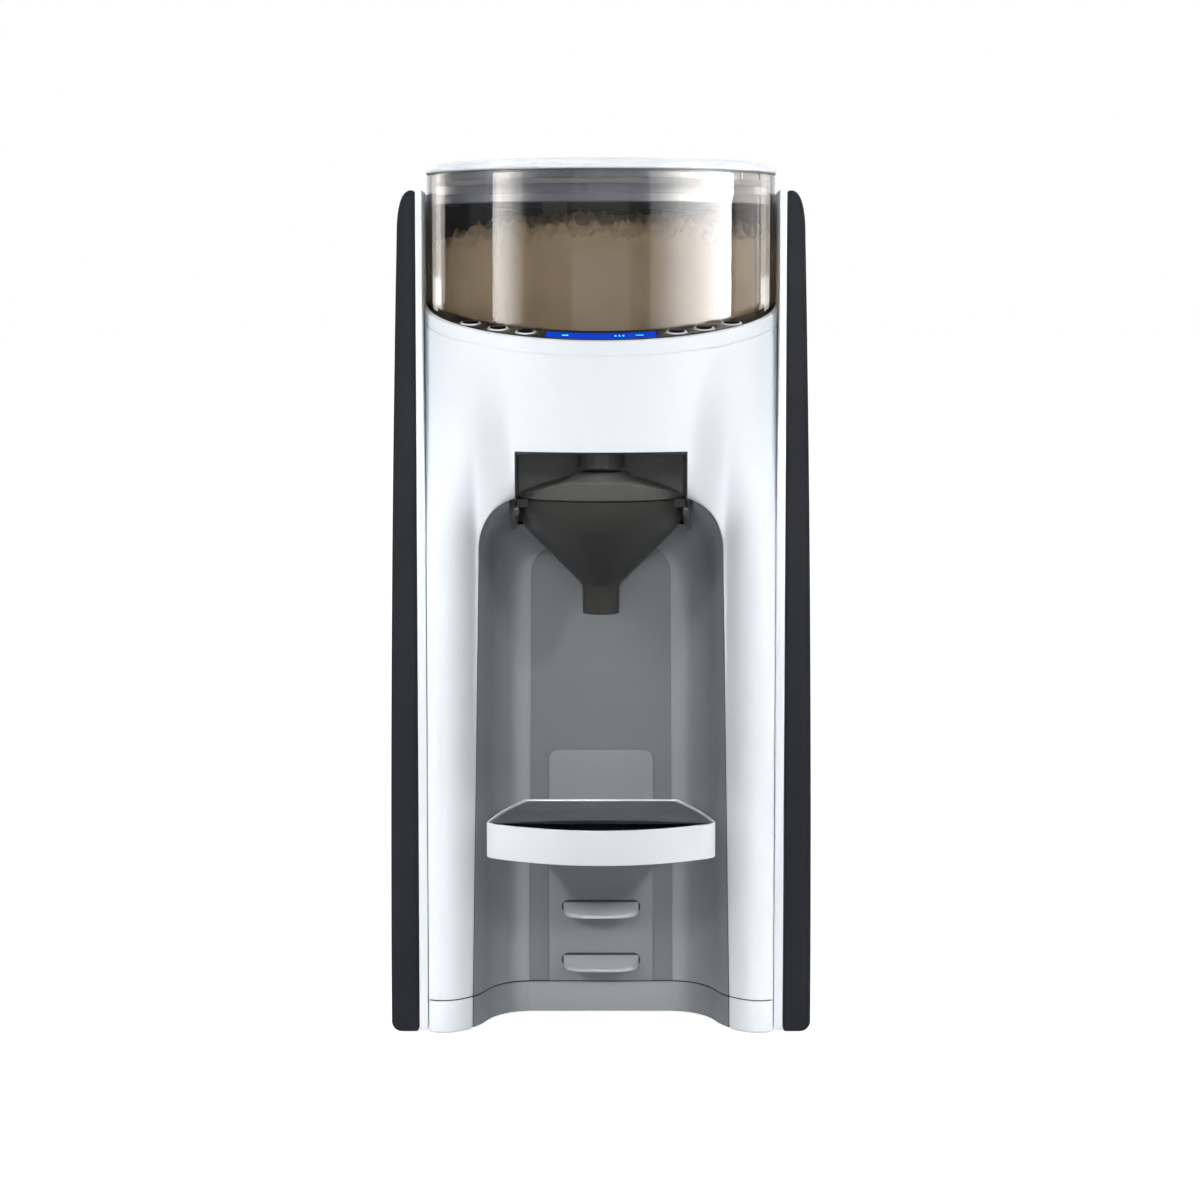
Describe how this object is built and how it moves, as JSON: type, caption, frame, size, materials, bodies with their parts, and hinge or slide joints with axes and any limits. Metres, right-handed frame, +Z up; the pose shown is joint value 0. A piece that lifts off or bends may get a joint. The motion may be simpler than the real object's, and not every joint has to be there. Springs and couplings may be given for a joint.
{
  "type": "baby formula maker",
  "caption": "Countertop machine that portions formula powder and mixes it with warm water from a rear tank into a bottle in its front bay.",
  "frame": {"origin": "on the counter, under the middle of the machine's bounding box", "axes": "+Z up, -Y towards the person in front of the bottle bay, +X to that person's right"},
  "size_m": [0.165, 0.29, 0.343],
  "materials": {
    "white_plastic": "gloss moulded",
    "black_plastic": "satin moulded",
    "grey_plastic": "satin moulded",
    "pale_grey_plastic": "satin moulded",
    "dark_plastic": "satin moulded",
    "gloss_black": "gloss",
    "smoke_plastic": "translucent smoke",
    "clear_smoke": "clear smoky plastic",
    "tank_plastic": "translucent",
    "powder": "loose fine powder",
    "display_blue": "lit display",
    "silver": "satin chrome",
    "steel": "brushed",
    "rubber": "matt",
    "natural_nylon": "natural",
    "circuit_board": "solder mask",
    "heater_metal": "cast",
    "hose": "silicone"
  },
  "bodies": {
    "housing": {"base_plate": "black_plastic", "foot_front_left": "rubber", "foot_front_right": "rubber", "foot_rear_left": "rubber", "foot_rear_right": "rubber", "base_cap_left": "white_plastic", "base_cap_right": "white_plastic", "base_sill": "grey_plastic", "front_shell": "white_plastic", "alcove_liner": "grey_plastic", "side_lining_left": "white_plastic", "side_lining_right": "white_plastic", "side_panel_left": "black_plastic", "side_panel_right": "black_plastic", "back_panel": "black_plastic", "rear_screw_left": "steel", "rear_screw_right": "steel", "power_inlet": "black_plastic", "inner_frame": "dark_plastic", "rear_deck": "dark_plastic", "powder_bay": "dark_plastic", "mix_motor": "steel", "motor_bracket": "dark_plastic", "control_panel": "gloss_black", "lcd_display": "display_blue", "control_board": "circuit_board", "funnel_holder": "dark_plastic", "powder_chute": "dark_plastic", "water_nozzle": "steel", "tray_rail": "pale_grey_plastic", "tank_dock": "dark_plastic", "water_pump": "dark_plastic", "heater": "heater_metal", "tank_hose": "hose", "heater_hose": "hose", "nozzle_hose": "hose", "main_board": "circuit_board"},
    "container": {"powder_container": "clear_smoke", "formula_powder": "powder"},
    "lid": {"powder_lid": "white_plastic", "lid_seal": "rubber"},
    "mixer": {"portion_wheel": "natural_nylon", "stirrer": "natural_nylon"},
    "drive": {"drive_shaft": "steel", "drive_gear": "natural_nylon"},
    "pinion": {"motor_pinion": "steel"},
    "tank": {"water_tank": "tank_plastic", "tank_hinge_pin": "steel"},
    "tank_cover": {"tank_lid": "dark_plastic"},
    "valve": {"tank_valve": "natural_nylon"},
    "funnel_set": {"funnel": "smoke_plastic", "funnel_cover": "smoke_plastic"},
    "tray": {"tray_body": "white_plastic", "tray_pad": "dark_plastic"},
    "key_left_1": {"button_left_1": "silver"},
    "key_left_2": {"button_left_2": "silver"},
    "key_left_3": {"button_left_3": "silver"},
    "key_right_1": {"button_right_1": "silver"},
    "key_right_2": {"button_right_2": "silver"},
    "key_right_3": {"button_right_3": "silver"}
  },
  "joints": [
    {"name": "container_lift", "type": "slide", "parent": "housing", "child": "container", "axis": [0, 0, 1], "range_m": [0, 0.09]},
    {"name": "lid_lift", "type": "slide", "parent": "container", "child": "lid", "axis": [0, 0, 1], "range_m": [0, 0.05]},
    {"name": "mixer_spin", "type": "hinge", "parent": "container", "child": "mixer", "pos_m": [0, -0.057, 0.27], "axis": [0, 0, 1], "continuous": true},
    {"name": "drive_spin", "type": "hinge", "parent": "housing", "child": "drive", "pos_m": [0, -0.057, 0.254], "axis": [0, 0, 1], "continuous": true},
    {"name": "pinion_spin", "type": "hinge", "parent": "housing", "child": "pinion", "pos_m": [0, -0.033, 0.254], "axis": [0, 0, 1], "continuous": true},
    {"name": "tank_lift", "type": "slide", "parent": "housing", "child": "tank", "axis": [0, 0, 1], "range_m": [0, 0.11]},
    {"name": "tank_lid_hinge", "type": "hinge", "parent": "tank", "child": "tank_cover", "pos_m": [0, 0.1424, 0.3207], "axis": [-1, 0, 0], "range_deg": [0, 95]},
    {"name": "valve_slide", "type": "slide", "parent": "tank", "child": "valve", "axis": [0, 0, 1], "range_m": [0, 0.002], "stiffness_N_per_m": 80},
    {"name": "funnel_slide", "type": "slide", "parent": "housing", "child": "funnel_set", "axis": [0, -1, 0], "range_m": [0, 0.08]},
    {"name": "tray_slide", "type": "slide", "parent": "housing", "child": "tray", "axis": [0, -1, 0], "range_m": [0, 0.06]},
    {"name": "press_left_1", "type": "slide", "parent": "housing", "child": "key_left_1", "axis": [0, 0.2079, -0.9781], "range_m": [0, 0.0008], "stiffness_N_per_m": 400},
    {"name": "press_left_2", "type": "slide", "parent": "housing", "child": "key_left_2", "axis": [0, 0.2079, -0.9781], "range_m": [0, 0.0008], "stiffness_N_per_m": 400},
    {"name": "press_left_3", "type": "slide", "parent": "housing", "child": "key_left_3", "axis": [0, 0.2079, -0.9781], "range_m": [0, 0.0008], "stiffness_N_per_m": 400},
    {"name": "press_right_1", "type": "slide", "parent": "housing", "child": "key_right_1", "axis": [0, 0.2079, -0.9781], "range_m": [0, 0.0008], "stiffness_N_per_m": 400},
    {"name": "press_right_2", "type": "slide", "parent": "housing", "child": "key_right_2", "axis": [0, 0.2079, -0.9781], "range_m": [0, 0.0008], "stiffness_N_per_m": 400},
    {"name": "press_right_3", "type": "slide", "parent": "housing", "child": "key_right_3", "axis": [0, 0.2079, -0.9781], "range_m": [0, 0.0008], "stiffness_N_per_m": 400}
  ],
  "couplings": [
    {"joint": "drive_spin", "follows": "mixer_spin", "ratio": 1},
    {"joint": "pinion_spin", "follows": "mixer_spin", "ratio": -3}
  ]
}
